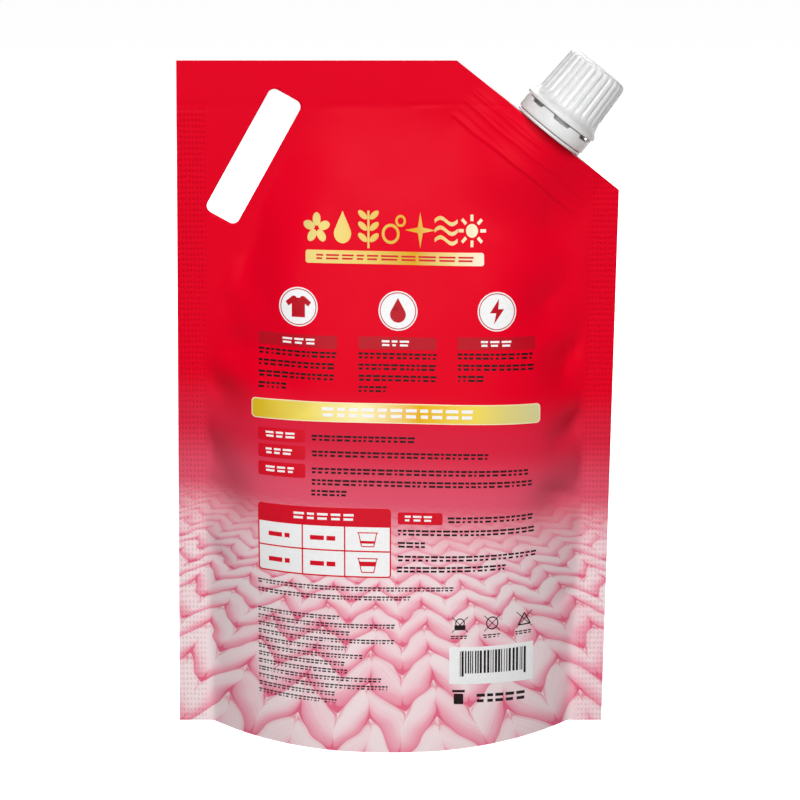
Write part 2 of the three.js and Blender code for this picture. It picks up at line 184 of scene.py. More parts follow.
# Dents where the film has buckled: across, up, radius, depth
DENTS = (
    (-61, 203, 13, 2.2), (-62, 159, 13, 4.2), (-69, 136, 11, 3.4),
    (-71, 116, 9, 2.0), (-68, 97, 11, 4.0), (-75, 40, 12, 1.0),
    (66, 205, 12, 2.2), (61, 172, 17, 5.2), (70, 148, 12, 4.6),
    (71, 124, 10, 3.0), (66, 97, 12, 4.4), (76, 34, 11, 1.0),
)


def slant():
    """The slanted edge: its upper end, the directions along it and outwards, and its angle."""
    mm = settings("film")
    run = mm("corner_width") - mm("lean") * mm("corner_height") / mm("height")
    angle = math.atan2(mm("corner_height"), run)
    top = np.array([mm("width") / 2 - mm("corner_width") + mm("lean"), mm("height")])
    along = np.array([math.cos(angle), -math.sin(angle)])
    return top, along, np.array([math.sin(angle), math.cos(angle)]), angle


def slot_middle():
    """Middle of the carrying slot, across and up."""
    mm = settings("film")
    return mm("lean") - mm("width") / 2 + SLOT_FROM_SIDE, mm("height") - SLOT_FROM_TOP


def spout_frame():
    """Matrix to the part's metres from the spout's own millimetres, Z along its axis from the film's edge."""
    top, along, _, angle = slant()
    foot = top + along * settings("closure")("along")
    place = Matrix.Translation(Vector((foot[0] + BOX_SHIFT, 0, foot[1])) * MM)
    return place @ Matrix.Rotation(angle, 4, "Y") @ Matrix.Scale(MM, 4)


def film_depth(across, up):
    """Half the depth of the filled pouch at places on the panel. The film and all its print read it."""
    mm = settings("film")
    across = np.asarray(across, float)
    up = np.asarray(up, float)
    half_seal = mm("seal") / 2
    level = across - mm("lean") * up / mm("height")
    tip = BASE_TIP + (mm("side_seal") - BASE_TIP) * np.minimum(1, up / BASE_TIP_FADE)
    share = np.minimum(1, abs(level) / (mm("width") / 2 - tip))
    fill = np.maximum(0, 1 - np.maximum(0, up / (mm("height") - mm("top_seal"))) ** FILL_POWER)
    top, along, out, _ = slant()
    foot = top + along * settings("closure")("along")
    beside = (across - foot[0]) * along[0] + (up - foot[1]) * along[1]
    inside = -((across - foot[0]) * out[0] + (up - foot[1]) * out[1])
    slot = slot_middle()
    behind_slot = (across - slot[0]) * math.sin(SLOT_TILT) - (up - slot[1]) * math.cos(SLOT_TILT)
    behind_slot = behind_slot - mm("slot_width") / 2 - SLOT_MARGIN
    power = SECTION_LOW + (SECTION_HIGH - SECTION_LOW) * smoothstep(up, *SECTION_CHANGE)
    body = (mm("base_depth") / 2 - half_seal) * fill * (1 - share**power)
    body = body * swell(inside - mm("spout_seal"), SPOUT_SLOPE) * swell(behind_slot, HANDLE_SLOPE)
    dents = sum(
        deep * np.exp(-2 * ((level - x) ** 2 + (up - z) ** 2) / radius**2) for x, z, radius, deep in DENTS
    )
    wrap = BOAT_WRAP * (0.5 + 0.5 * np.cos(np.pi * np.clip(beside / WRAP_REACH, -1, 1)))
    wrap = wrap * (1 - smoothstep(inside, BOAT_HEIGHT, BOAT_HEIGHT + WRAP_RUN))
    return half_seal + body - np.minimum(body / 2, dents) + wrap + relief(level, up, beside, inside, body)


# Ridges pressed into the spout seal: place below the edge at the upper and the lower end, height, half-width
RIDGES = (
    (4.4, 4.0, 0.12, 0.32), (5.7, 6.4, 0.16, 0.34), (8.6, 8.9, 0.13, 0.34),
    (9.9, 11.6, 0.26, 0.42), (14.3, 15.2, 0.12, 0.4), (17.1, 17.9, 0.46, 0.5),
)
RIDGE_FROM = -33  # their upper end along the edge, counted from the spout
RIDGE_RUN = 62
RIDGE_IN = (-35, -31)  # where they run in
RIDGE_OUT = (25, 30)  # and out
# Creases: from and to, each across and up, then half-width and depth
CREASES = (
    (-66, 214, -40, 132, 6.5, 2.6), (-78, 180, -60, 168, 4, 1.6), (-80, 148, -58, 137, 4, 1.5),
    (-80, 116, -58, 100, 4, 1.9), (-80, 80, -64, 66, 3, 1.3), (-80, 36, -68, 22, 3, 1.0),
    (58, 103, 78, 92, 1.6, 1.3), (84, 200, 60, 184, 5, 1.8), (80, 162, 56, 150, 5, 2.2),
    (79, 128, 61, 120, 3.5, 1.6), (80, 60, 66, 52, 1.8, 1.2), (80, 30, 68, 21, 1.8, 0.9),
    (-12, 262, 34, 246, 1.2, 0.3), (10, 252, 18, 236, 1.0, 0.35),
)


def relief(level, up, beside, inside, body):
    """Pressed ridges, creases, the bend at the top seal and a faint wave over the body."""
    total = np.zeros_like(level)
    for upper, lower, high, wide in RIDGES:
        wander = 0.16 * np.sin(beside / 2.9 + 2 * upper) + 0.5 * np.sin(beside / 10 + upper) * (upper > 9)
        middle = upper + (lower - upper) * (beside - RIDGE_FROM) / RIDGE_RUN + wander
        run = smoothstep(beside, *RIDGE_IN) * (1 - smoothstep(beside, *RIDGE_OUT))
        # Steep towards the body and shallow towards the edge
        step = np.where(inside > middle, wide * 0.8, wide * 2.2)
        total += high * np.exp(-(((inside - middle) / step) ** 2) / 2) * run
    for x0, z0, x1, z1, wide, deep in CREASES:
        run = np.hypot(x1 - x0, z1 - z0)
        t = ((level - x0) * (x1 - x0) + (up - z0) * (z1 - z0)) / run**2
        side = ((level - x0) * (z1 - z0) - (up - z0) * (x1 - x0)) / run
        fade = np.sin(np.pi * np.clip(t, 0, 1)) ** 0.8
        total -= deep * fade * np.exp(-((side / wide) ** 2) / 2) * smoothstep(body, 0, 4)
    top = settings("film")("height") - settings("film")("top_seal")
    bend = 0.16 * (1 + 0.6 * np.sin(level / 7 + 1) * np.sin(level / 17))
    total -= bend * np.exp(-(((up - top - 0.4 * np.sin(level / 11)) / 0.7) ** 2) / 2)
    wave = 0.3 * np.sin(level / 9 + 1.3 * np.sin(up / 17)) * np.sin(up / 13 + 0.8 * np.sin(level / 21))
    return total + wave * smoothstep(body, 0, 8) * (1 - 0.6 * smoothstep(body, 8, 25))


# Building helpers

def finished(name, bm, material, angle=40):
    """Makes a mesh object at the origin from a bmesh, smooth but for edges sharper than an angle."""
    mesh = bpy.data.meshes.new(name)
    bm.to_mesh(mesh)
    bm.free()
    mesh.shade_smooth()
    mesh.set_sharp_from_angle(angle=math.radians(angle))
    piece = bpy.data.objects.new(name, mesh)
    bpy.context.scene.collection.objects.link(piece)
    mesh.materials.append(material)
    return piece


def arc(middle, radius, start, end, steps=4):
    """Points of an arc in a plane, angles in degrees."""
    turns = [math.radians(start + (end - start) * i / steps) for i in range(steps + 1)]
    return [(middle[0] + radius * math.cos(t), middle[1] + radius * math.sin(t)) for t in turns]


def spun(bm, outline, sides):
    """A closed body turned about Z from [radius, height] points that go round its section."""
    verts = [bm.verts.new((radius, 0, height)) for radius, height in outline]
    edges = [bm.edges.new(pair) for pair in zip(verts, verts[1:])]
    bmesh.ops.spin(
        bm, geom=verts + edges, cent=(0, 0, 0), axis=(0, 0, 1), angle=2 * math.pi, steps=sides,
        use_merge=True, use_duplicate=False,
    )
    bmesh.ops.remove_doubles(bm, verts=bm.verts[:], dist=1e-4)


def fill_inputs(node, inputs):
    """Gives a node's inputs their values or links."""
    for key, value in inputs.items():
        if isinstance(value, bpy.types.NodeSocket):
            node.id_data.links.new(value, node.inputs[key])
        else:
            node.inputs[key].default_value = value


def add_node(tree, kind, inputs=None, out=0, **values):
    """Adds a node with its settings and inputs, and returns one output."""
    node = tree.nodes.new("ShaderNode" + kind)
    for name, value in values.items():
        setattr(node, name, value)
    fill_inputs(node, inputs or {})
    return node.outputs[out]


def fill_ramp(ramp, stops):
    """Gives a new colour ramp its stops, each a place from 0 to 1 and a linear colour."""
    ramp.elements[0].color, ramp.elements[1].color = stops[0][1], stops[-1][1]
    for at, tint in stops[1:-1]:
        ramp.elements.new(at).color = tint


def new_material(name, surface):
    """A material of one surface shader. surface(add) adds its nodes and returns the shader's inputs."""
    material = bpy.data.materials.get(name) or bpy.data.materials.new(name)
    material.use_nodes = True
    tree = material.node_tree
    tree.nodes.clear()
    shader = tree.nodes.new("ShaderNodeBsdfPrincipled")
    output = tree.nodes.new("ShaderNodeOutputMaterial")
    tree.links.new(shader.outputs[0], output.inputs[0])
    fill_inputs(shader, surface(partial(add_node, tree)))
    return material


FADE = (0.145, 0.075)  # m, heights between which the red turns to the haze
FADE_FALL = 0.052  # the fade lies lower at the right by this slope
MIST = (0.064, 0.102)  # m, heights between which the haze hides the knit
KNURL = (0.0015, 0.0022)  # m, spacing of the side seals' dots across and up


def film_material():
    """Laminate of PET over white LDPE, printed in reverse. Gives a satin skin with soft, wide reflections."""
    look = bpy.context.scene.film

    def surface(add):
        place = add("TexCoord", out="Object")
        x = add("SeparateXYZ", {0: place}, out="X")
        # The ground: red, and through pink to the haze above the knit, a little lower at the right
        height = add("Math", {0: x, 1: FADE_FALL, 2: x.node.outputs["Z"]}, operation="MULTIPLY_ADD")
        fade = add("MapRange", {0: height, 1: FADE[0], 2: FADE[1]})
        ground = add("ValToRGB", {0: fade})
        ground.node.color_ramp.interpolation = "EASE"
        stops = ((0, look.red), (0.3, look.rose), (0.64, look.pink), (1, look.haze))
        fill_ramp(ground.node.color_ramp, stops)
        # The knit: columns of leaf-shaped strands in pairs, from the knit map
        crest, tone = knit_nodes(add)
        colours = {"out": 2, "data_type": "RGBA"}
        flank = add("Mix", {"Factor": crest, "A": look.knit_dark, "B": look.knit_mid}, **colours)
        yarn = add("Mix", {"Factor": tone, "A": flank, "B": look.knit_light}, **colours)
        mist = {0: height, 1: MIST[0], 2: MIST[1], 3: 1.0, 4: 0.0}
        mist = add("MapRange", mist, interpolation_type="SMOOTHSTEP")
        picture = add("Mix", {"Factor": mist, "A": ground, "B": yarn}, **colours)
        # Knurled side seals: rows of dots that the sealing jaws press in, 1.5 by 2.2 mm apart. The dots are
        # bumped, and also darkened in the colour as painted shade in the dimples
        seal = add("Attribute", out="Fac", attribute_name="seal")
        dots = add("Mapping", {"Vector": place, "Scale": (1 / KNURL[0], 1, 1 / KNURL[1])})
        dots = {"Vector": dots, "Scale": 1.0, "Randomness": 0.12}
        dots = add("TexVoronoi", dots, feature="F1", voronoi_dimensions="3D")
        knurl = add("MapRange", {0: dots, 1: 0.12, 2: 0.42, 3: 1.0, 4: 0.0}, interpolation_type="SMOOTHSTEP")
        knurl = add("Math", {0: knurl, 1: seal}, operation="MULTIPLY")
        # Painted shade: the colour is darkened by up to 16 % in the knurl's dimples
        shade = add("Math", {0: knurl, 1: -0.16, 2: 1.0}, operation="MULTIPLY_ADD")
        knurl_shaded_picture = add("VectorMath", {0: picture, 1: shade}, operation="MULTIPLY")
        # Skin: faint mottling of the roughness, bump from the knurl and fine puckers
        mottle = add("TexNoise", {"Vector": place, "Scale": 60.0, "Detail": 3.0})
        rough = add("MapRange", {0: mottle, 1: 0.3, 2: 0.7, 3: 0.36, 4: 0.46})
        pucker = add("TexNoise", {"Vector": place, "Scale": 420.0, "Detail": 2.0})
        raised = add("Math", {0: pucker, 1: 0.12}, operation="MULTIPLY")
        raised = add("Math", {0: knurl, 1: -1.0, 2: raised}, operation="MULTIPLY_ADD")
        bump = add("Bump", {"Height": raised, "Strength": 0.5, "Distance": 0.0002})
        return {"Base Color": knurl_shaded_picture, "Roughness": rough, "Normal": bump, "Specular IOR Level": 0.03}

    return new_material("satin_laminate_film", surface)


STRAND_RISE = 0.85  # rows that a strand climbs from the middle of its column to the edge
STRAND_POINT = 0.22  # how late a strand is drawn in towards its ends
STRAND_WIDTH = 0.72  # half its width in rows, so that strands overlap a little
STRAND_ROUND = 0.55  # how late its flank turns away
FIBRES = (1.6, 40.0, 3.0)  # scale of the fibres in columns, in rows and from strand to strand
LIT = (0.34, 1.06)  # sums of light between which the tone goes from flank to crest


def knit_nodes(add):
    """Chunky knit of leaf-shaped strands in pairs. Returns a strand's crest from 0 to 1, and its lit tone."""
    knit = add("UVMap", uv_map="knit")
    sway = add("TexNoise", {"Vector": knit, "Scale": 1.1, "Detail": 1.0}, out="Color")
    sway = add("VectorMath", {0: sway, 1: (0.5, 0.5, 0.5)}, operation="SUBTRACT")
    warped = add("VectorMath", {0: sway, 1: (0.34, 0.5, 0), 2: knit}, operation="MULTIPLY_ADD")
    u = add("SeparateXYZ", {0: warped}, out="X")
    v = u.node.outputs["Y"]
    # The column, and the distance from its middle: its sign tells the two strands apart, and out is 1 at
    # the column's edges. Strands climb outwards, one to a row. Then the leaf, widest at the middle of the
    # strand and drawn in at both ends, and the strand's roundness across it
    made = {"u": u, "v": v}
    for name, operation, *terms in (
        ("column", "FLOOR", "u"),
        ("middle", "SUBTRACT", "u", "column"),
        ("middle", "SUBTRACT", "middle", 0.5),
        ("side", "SIGN", "middle"),
        ("out", "ABSOLUTE", "middle"),
        ("out", "MULTIPLY", "out", 2.0),
        ("rise", "MULTIPLY_ADD", "out", -STRAND_RISE, "v"),
        ("row", "FLOOR", "rise"),
        ("across", "SUBTRACT", "rise", "row"),
        ("across", "SUBTRACT", "across", 0.5),
        ("inner", "PINGPONG", "out", 1.0, 0.0),
        ("leaf", "MULTIPLY_ADD", "out", -1.0, 1.0),
        ("leaf", "MULTIPLY", "leaf", "inner"),
        ("leaf", "POWER", "leaf", STRAND_POINT),
        ("leaf", "MULTIPLY", "leaf", STRAND_WIDTH),
        ("share", "DIVIDE", "across", "leaf"),
        ("square", "MULTIPLY", "share", "share"),
        ("crest", "SUBTRACT", 1.0, "square"),
        ("crest", "MAXIMUM", "crest", 0.0),
        ("crest", "POWER", "crest", STRAND_ROUND),
    ):
        inputs = {place: made.get(term, term) for place, term in enumerate(terms)}
        made[name] = add("Math", inputs, operation=operation)
    share, crest = made["share"], made["crest"]
    # Each strand has its own tone, and fibres run along it
    number = add("CombineXYZ", {0: made["column"], 1: made["row"], 2: made["side"]})
    lot = add("TexWhiteNoise", {"Vector": number}, out="Value", noise_dimensions="3D")
    fibre = add("CombineXYZ", {0: u, 1: made["rise"], 2: lot})
    fibre = add("Mapping", {"Vector": fibre, "Scale": FIBRES})
    fibre = add("TexNoise", {"Vector": fibre, "Scale": 1.0, "Detail": 2.0})
    # Light from above: place on the strand, roundness, the strand's own tone and its fibres
    lit = -0.18
    for part, weight in ((share, 0.42), (crest, 0.62), (lot, 0.22), (fibre, 0.5)):
        lit = add("Math", {0: part, 1: weight, 2: lit}, operation="MULTIPLY_ADD")
    return crest, add("MapRange", {0: lit, 1: LIT[0], 2: LIT[1]}, interpolation_type="SMOOTHSTEP")


def print_material(name, tint, rough, metallic=0.0, reach=None):
    """Gravure ink or hot foil on the film. Gives flat colour that keeps the film's own soft shine.

    The tint is one linear colour, or hex stops from left to right over a reach in metres. On the foils the
    stops are gold with painted reflection: the pale stops paint streaks of sheen across it.
    """

    def surface(add):
        place = add("TexCoord", out="Object")
        if reach:
            x = add("SeparateXYZ", {0: place}, out="X")
            # Gold foil with painted reflection: the ramp's pale stops are painted sheen
            base = add("ValToRGB", {0: add("MapRange", {0: x, 1: reach[0], 2: reach[1]})})
            fill_ramp(base.node.color_ramp, [(at, linear(code)) for at, code in tint])
        else:
            speck = add("TexNoise", {"Vector": place, "Scale": 900.0, "Detail": 1.0})
            shade = add("MapRange", {0: speck, 1: 0.3, 2: 0.7, 3: 0.95, 4: 1.0})
            base = add("VectorMath", {0: tint[:3], 1: shade}, operation="MULTIPLY")
        grain = add("TexNoise", {"Vector": place, "Scale": 120.0, "Detail": 2.0})
        polish = add("MapRange", {0: grain, 3: rough - 0.05, 4: rough + 0.05})
        return {"Base Color": base, "Roughness": polish, "Metallic": metallic, "Specular IOR Level": 0.1}

    return new_material(name, surface)


def milky_plastic(name, tint):
    """Moulded polypropylene or polyethylene, or pressed foam. Gives soft inner light and a clean gloss."""

    def surface(add):
        place = add("TexCoord", out="Object")
        mottle = add("TexNoise", {"Vector": place, "Scale": 400.0, "Detail": 2.0})
        rough = add("MapRange", {0: mottle, 3: 0.2, 4: 0.32})
        return {
            "Base Color": tint, "Roughness": rough,
            "Subsurface Weight": 0.6, "Subsurface Radius": (1, 1, 1), "Subsurface Scale": 0.002,
        }

    return new_material(name, surface)


class POUCH_OT_film(bpy.types.Operator):
    """Adds the filled film pouch with its seals, gusset and carrying slot"""

    bl_idname = "pouch.film"
    bl_label = "Film pouch"

    def execute(self, context):
        mm = settings("film")
        width, height, lean = mm("width"), mm("height"), mm("lean")
        bm = bmesh.new()
        cells = (round(width / mm("cell")), round(height / mm("cell")))
        bmesh.ops.create_grid(bm, x_segments=cells[0], y_segments=cells[1], size=0.5)
        panel = Matrix(((width, lean, 0, lean / 2), (0, 0, 0, 0), (0, height, 0, height / 2), (0, 0, 0, 1)))
        bmesh.ops.transform(bm, matrix=panel, verts=bm.verts[:])
        top, _, out, _ = slant()
        bmesh.ops.bisect_plane(
            bm, geom=bm.verts[:] + bm.edges[:] + bm.faces[:], dist=1e-4,
            plane_co=(top[0], 0, top[1]), plane_no=(out[0], 0, out[1]), clear_outer=True,
        )
        # The pressed ridges of the spout seal need a finer mesh
        place = np.array([f.calc_center_median() for f in bm.faces])
        below = (top[0] - place[:, 0]) * out[0] + (top[1] - place[:, 2]) * out[1]
        fine = {e for f, deep in zip(bm.faces, below) if deep < FINE_BAND for e in f.edges}
        bmesh.ops.subdivide_edges(bm, edges=list(fine), cuts=FINE_CUTS, use_grid_fill=True)
        back = set(bm.verts)
        bmesh.ops.extrude_face_region(bm, geom=bm.faces[:])
        points = np.array([v.co for v in bm.verts])
        for vert, half in zip(bm.verts, film_depth(points[:, 0], points[:, 2])):
            vert.co.y = half if vert in back else -half
        crossing = [
            e for e in bm.edges
            if all(v.co.z < 1e-3 for v in e.verts) and (e.verts[0] in back) != (e.verts[1] in back)
        ]
        bmesh.ops.subdivide_edges(bm, edges=crossing, cuts=GUSSET_CUTS, use_grid_fill=True)
        self.shape_base(bm, width)
        place = Matrix.Scale(MM, 4) @ Matrix.Translation((BOX_SHIFT, 0, 0))
        bmesh.ops.transform(bm, matrix=place, verts=bm.verts[:])
        bmesh.ops.recalc_face_normals(bm, faces=bm.faces[:])
        piece = finished("pouch_film", bm, film_material(), 50)
        self.cut_slot(context, piece)
        self.map_print(piece.data)
        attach(piece, "root")
        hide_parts("pouch")
        return {"FINISHED"}

    def shape_base(self, bm, width):
        """Arches the bottom strip into the gusset, inside the flat rim that the pouch stands on."""
        low = [v for v in bm.verts if v.co.z < 1e-3]
        half = film_depth(np.array([v.co.x for v in low]), np.zeros(len(low)))
        for vert, depth in zip(low, half):
            share = abs(vert.co.y) / depth
            inside = 1 - min(1, share / (1 - BASE_RIM))
            flat = 1 - (vert.co.x * 2 / width) ** 2
            vert.co.z = max(0, settings("film")("gusset_rise") * (1 - (1 - inside) ** 2) * flat)

    def map_print(self, mesh):
        """Writes the knit map, which shrinks towards a far edge, and the mask of the knurled seals."""
        mm = settings("film")
        points = np.empty(len(mesh.vertices) * 3)
        mesh.vertices.foreach_get("co", points)
        points = points.reshape(-1, 3) / MM
        across, up = points[:, 0] - BOX_SHIFT, np.maximum(points[:, 2], 0)
        far = np.maximum(KNIT_FAR - up, KNIT_LEAST)
        column = across / KNIT_WIDTH * KNIT_FAR / far + KNIT_PLACE
        knit = np.stack([column, KNIT_FAR**2 / KNIT_HEIGHT / far], 1)
        corners = np.empty(len(mesh.loops), int)
        mesh.loops.foreach_get("vertex_index", corners)
        mesh.uv_layers.new(name="knit").data.foreach_set("uv", knit[corners].astype(np.float32).ravel())
        level = abs(across - mm("lean") * up / mm("height"))
        inner, top = mm("width") / 2 - mm("side_seal"), mm("height") - mm("top_seal")
        mask = smoothstep(level, inner - 0.6, inner + 0.6) * (1 - smoothstep(up, top - 3, top + 1))
        mesh.attributes.new("seal", "FLOAT", "POINT").data.foreach_set("value", mask.astype(np.float32))

    def cut_slot(self, context, piece):
        """Punches the carrying slot through both films."""
        mm = settings("film")
        bm = bmesh.new()
        bmesh.ops.create_cube(bm, size=1)
        size = [mm(name) * MM for name in ("slot_length", "base_depth", "slot_width")]
        bmesh.ops.scale(bm, vec=size, verts=bm.verts[:])
        through = [e for e in bm.edges if abs(e.verts[0].co.y - e.verts[1].co.y) > MM]
        bmesh.ops.bevel(
            bm, geom=through, offset=SLOT_CORNER * MM, segments=8, profile=0.5, affect="EDGES", material=-1
        )
        across, up = slot_middle()
        place = Matrix.Translation(((across + BOX_SHIFT) * MM, 0, up * MM))
        bmesh.ops.transform(bm, matrix=place @ Matrix.Rotation(-SLOT_TILT, 4, "Y"), verts=bm.verts[:])
        cutter = finished("slot_cutter", bm, piece.data.materials[0])
        cut = piece.modifiers.new("slot", "BOOLEAN")
        cut.operation, cut.object, cut.solver = "DIFFERENCE", cutter, "EXACT"
        mesh = bpy.data.meshes.new_from_object(piece.evaluated_get(context.evaluated_depsgraph_get()))
        piece.modifiers.clear()
        piece.data = mesh
        mesh.name = "pouch_film"
        bpy.data.objects.remove(cutter)


# Print, drawn flat in the panel's millimetres: x across, y up

INK_LIFT = 0.07  # how far a layer of ink stands off the film
INK_SUNK = 0.1  # how far its underside lies in the film
INK_CELL = 1.5  # spacing of its mesh, so that it follows the film
PRINT_TILT = 0.022  # the print falls to the right by this slope
TILT_CHANGE = (55, 85)  # above these heights
PRINT_SLIP = 0.125  # and by this one at the lower right
SLIP_FROM = 12  # from this place across
SLIP_CHANGE = (15, 80)  # and below these heights


def bar(bm, left, low, right, high, radius=0):
    """A rectangle, with rounded corners if a radius is given."""
    made = bmesh.ops.create_grid(bm, x_segments=1, y_segments=1, size=0.5)["verts"]
    place = Matrix.Translation(((left + right) / 2, (low + high) / 2, 0))
    size = Matrix.Diagonal((right - left, high - low, 1, 1))
    bmesh.ops.transform(bm, matrix=place @ size, verts=made)
    if radius:
        bmesh.ops.bevel(
            bm, geom=made, offset=radius, segments=4, profile=0.5, affect="VERTICES", material=-1
        )


def disc(bm, x, y, radius, stretch=1, turn=0, segments=28):
    """A filled circle, or an ellipse stretched along a direction given in degrees."""
    made = bmesh.ops.create_circle(bm, cap_ends=True, segments=segments, radius=radius)["verts"]
    place = Matrix.Translation((x, y, 0)) @ Matrix.Rotation(math.radians(turn), 4, "Z")
    bmesh.ops.transform(bm, matrix=place @ Matrix.Diagonal((stretch, 1, 1, 1)), verts=made)


def hoop(bm, x, y, radius, wide, segments=40):
    """A ring."""
    inner = bmesh.ops.create_circle(bm, segments=segments, radius=radius - wide)["verts"]
    outer = bmesh.ops.create_circle(bm, segments=segments, radius=radius)["verts"]
    edges = {e for v in inner + outer for e in v.link_edges}
    bmesh.ops.bridge_loops(bm, edges=list(edges))
    bmesh.ops.translate(bm, vec=(x, y, 0), verts=inner + outer)


def patch(bm, corners):
    """A filled outline."""
    bm.faces.new([bm.verts.new((x, y, 0)) for x, y in corners])


def stroke(bm, x0, y0, x1, y1, wide):
    """A straight line of some width."""
    run = math.hypot(x1 - x0, y1 - y0)
    dx, dy = (y0 - y1) / run * wide / 2, (x1 - x0) / run * wide / 2
    patch(bm, [(x0 + dx, y0 + dy), (x0 - dx, y0 - dy), (x1 - dx, y1 - dy), (x1 + dx, y1 + dy)])


def words(bm, chance, left, right, y, high, shortest=1.3, longest=2.9, gap=0.5):
    """A line of plain dashes, in pairs one above the other, in place of a line of lettering."""
    x = left
    while x < right - shortest:
        end = min(x + chance.uniform(shortest, longest), right)
        bar(bm, x, y + high * 0.15, end, y + high / 2)
        bar(bm, x + chance.uniform(0, 0.3), y - high / 2, end - chance.uniform(0, 0.6), y - high * 0.15)
        x = end + gap


def droop(x, y):
    """How far the print has slipped down on the filled film."""
    low = 1 - smoothstep(y, *SLIP_CHANGE)
    return -PRINT_TILT * x * smoothstep(y, *TILT_CHANGE) - PRINT_SLIP * np.maximum(0, x - SLIP_FROM) * low


def print_piece(name, draw, material, lift):
    """Lays what draw(bm) draws on the front film, as a thin closed layer of ink."""
    bm = bmesh.new()
    draw(bm)
    bmesh.ops.triangulate(bm, faces=[f for f in bm.faces if len(f.verts) > 4])
    for axis in (0, 1):
        places = [v.co[axis] for v in bm.verts]
        for place in np.arange(math.floor(min(places) / INK_CELL) * INK_CELL, max(places), INK_CELL):
            crossed = [
                f for f in bm.faces
                if min(v.co[axis] for v in f.verts) < place - 0.2
                and max(v.co[axis] for v in f.verts) > place + 0.2
            ]
            if crossed:
                geom = list({g for f in crossed for g in (*f.verts, *f.edges)}) + crossed
                normal = (1, 0, 0) if axis == 0 else (0, 1, 0)
                bmesh.ops.bisect_plane(
                    bm, geom=geom, dist=1e-4, plane_co=Vector(normal) * place, plane_no=normal
                )
    bmesh.ops.recalc_face_normals(bm, faces=bm.faces[:])
    under = set(bm.verts)
    bmesh.ops.extrude_face_region(bm, geom=bm.faces[:])
    points = np.array([v.co for v in bm.verts])
    across, up = points[:, 0], points[:, 1] + droop(points[:, 0], points[:, 1])
    depth = film_depth(across, up)
    for vert, x, y, z in zip(bm.verts, across, depth, up):
        vert.co = ((x + BOX_SHIFT) * MM, -(y + (-INK_SUNK if vert in under else lift)) * MM, z * MM)
    bmesh.ops.recalc_face_normals(bm, faces=bm.faces[:])
    piece = finished(name, bm, material, 30)
    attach(piece, "root")


# The three columns: across and up of the disc, then left, right and low of the label bar under it
COLUMNS_AT = (
    (-35.8, 174.9, -51.7, -20.7, 159.2), (3.1, 174.3, -12.3, 18.2, 159.4), (41.8, 174.6, 26.4, 57.1, 159.8),
)
LABEL_HIGH = 4.9
DISC_RADIUS = 7.6
HOOP_RADIUS = 7.1
PILLS_AT = ((122.5, 127.5), (115.8, 121.1), (108.7, 114.2))  # low and high of the pills at the left
SYMBOLS_AT = (27.6, 40.5, 53.6)
TITLE_AT = [-28.6 + 10.1 * i for i in range(7)]
TITLE_UP = 205.3
TITLE_STRETCH = (1.02, 1.14)  # how much larger than drawn the motifs are, across and up

# Lines of dashes: left, right, up and height, then shortest, longest and gap
TINY = (0.8, 1.8, 0.35)
HEADING = (2.2, 2.2, 4, 0.9)
HEADING_LINES = (
    *((x - 6.3, x + 6.3, low + LABEL_HIGH / 2, *HEADING) for x, _, _, _, low in COLUMNS_AT),
    *((-48.9, -36.3, y, *HEADING) for y in (125.0, 118.5, 111.5)),
    (-38, -13, 94, 2.6, 2.6, 4.6, 1.2), (5.8, 18, 94.1, *HEADING),
)
ADDRESS_ENDS = (-20, 1.9, -16, 1.5, -16, -11, -18, -17, -3.5, -1, -22, -21)
SMALL_PRINT_LINES = (
    *(
        (left, right if i < count - 1 else left + 12, low - 2.45 - 4.3 * i, 2.3)
        for count, (_, _, left, right, low) in zip((4, 4, 3), COLUMNS_AT) for i in range(count)
    ),
    (-30.7, 10.7, 124.6, 2.2), (-30.7, 38.5, 118.5, 2.2), (-30.7, 55.8, 111.9, 2.2),
    (-30.7, 55.9, 107.4, 2.2), (-30.9, -17.0, 103.2, 2.2),
    (22.6, 58.1, 93.7, 2.2), (3.0, 57.9, 88.5, 2.2), (3.0, 13.7, 83.7, 2.2),
    (3.0, 58.0, 78.3, 2.2), (2.6, 46.4, 73.9, 2.2),
    (-52.5, 25.2, 66.0, 1.6, *TINY), (-52.5, 8.9, 62.4, 1.6, *TINY),
    *((-52.7, right, 54.3 - 3.09 * i, 1.6, *TINY) for i, right in enumerate(ADDRESS_ENDS)),
    (34.4, 56.8, 22.9, 3.4, 2, 4, 0.9), *((x - 3.6, x + 3.6, 46.9, 1.3, *TINY) for x in SYMBOLS_AT),
)


def bars(*boxes):
    """Gives a function that draws rectangles: left, low, right, high and a radius of the corners."""

    def draw(bm):
        for box in boxes:
            bar(bm, *box)

    return draw


def dashes(seed, lines):
    """Gives a function that draws lines of dashes from one run of random lengths."""

    def draw(bm):
        chance = np.random.default_rng(seed)
        for line in lines:
            words(bm, chance, *line)

    return draw


